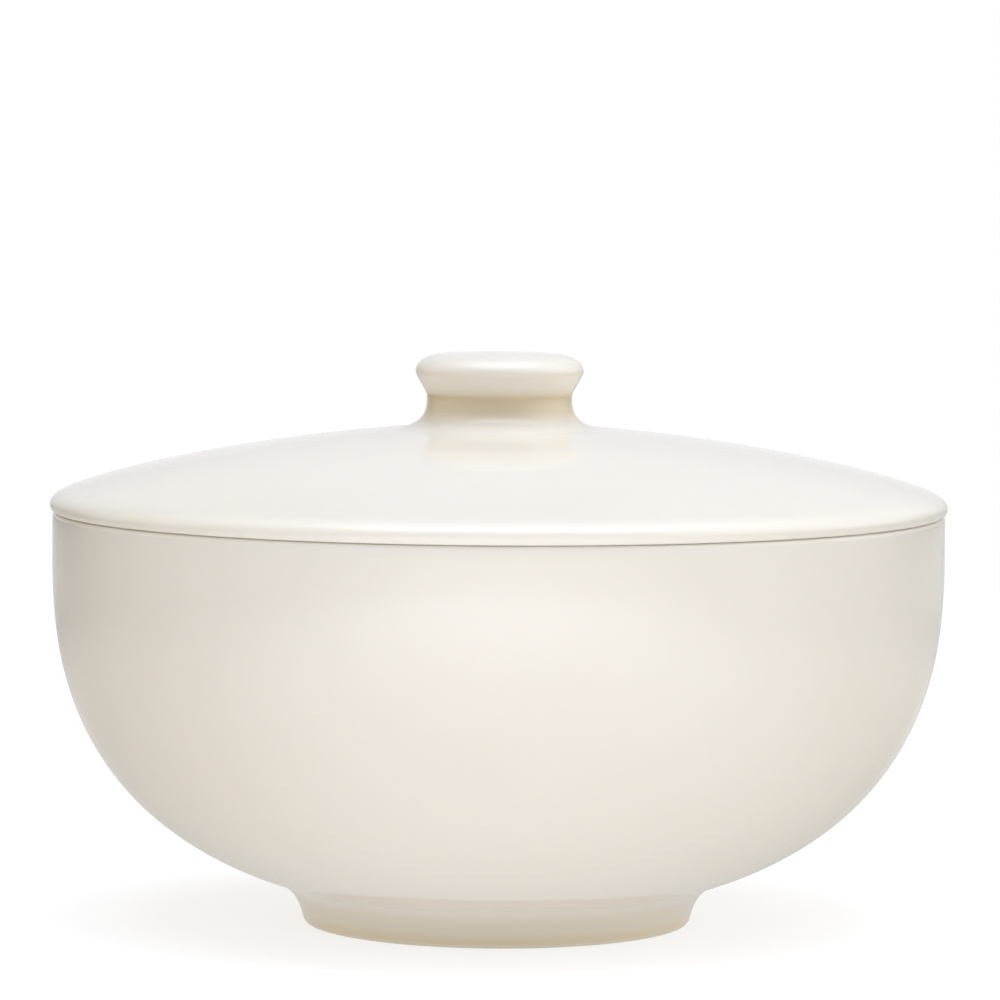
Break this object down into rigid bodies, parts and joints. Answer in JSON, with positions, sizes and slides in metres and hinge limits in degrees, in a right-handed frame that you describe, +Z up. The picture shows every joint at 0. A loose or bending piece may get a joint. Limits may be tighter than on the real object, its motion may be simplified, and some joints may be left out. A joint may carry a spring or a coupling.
{
  "type": "donburi bowl with lid",
  "caption": "Deep round glazed bowl on a foot ring, with a domed lift-off lid that seats on the rim, is located by a flange in the mouth and lifts by a bead-edged knob.",
  "frame": {"origin": "centre of the foot ring's standing face, at table level", "axes": "+Z up along the axis that both pieces are turned about, from the foot to the knob; -Y towards the pictured front"},
  "size_m": [0.1608, 0.1608, 0.1025],
  "materials": {
    "ivory_glaze": "gloss ivory glaze over white porcelain, bare on the foot ring's standing face and on the lower edge of the lid's flange"
  },
  "bodies": {
    "bowl": {"bowl": "ivory_glaze"},
    "lid": {"lid": "ivory_glaze"}
  },
  "joints": [
    {"name": "lid_lift", "type": "slide", "parent": "bowl", "child": "lid", "axis": [0, 0, 1], "range_m": [0, 0.12]}
  ]
}
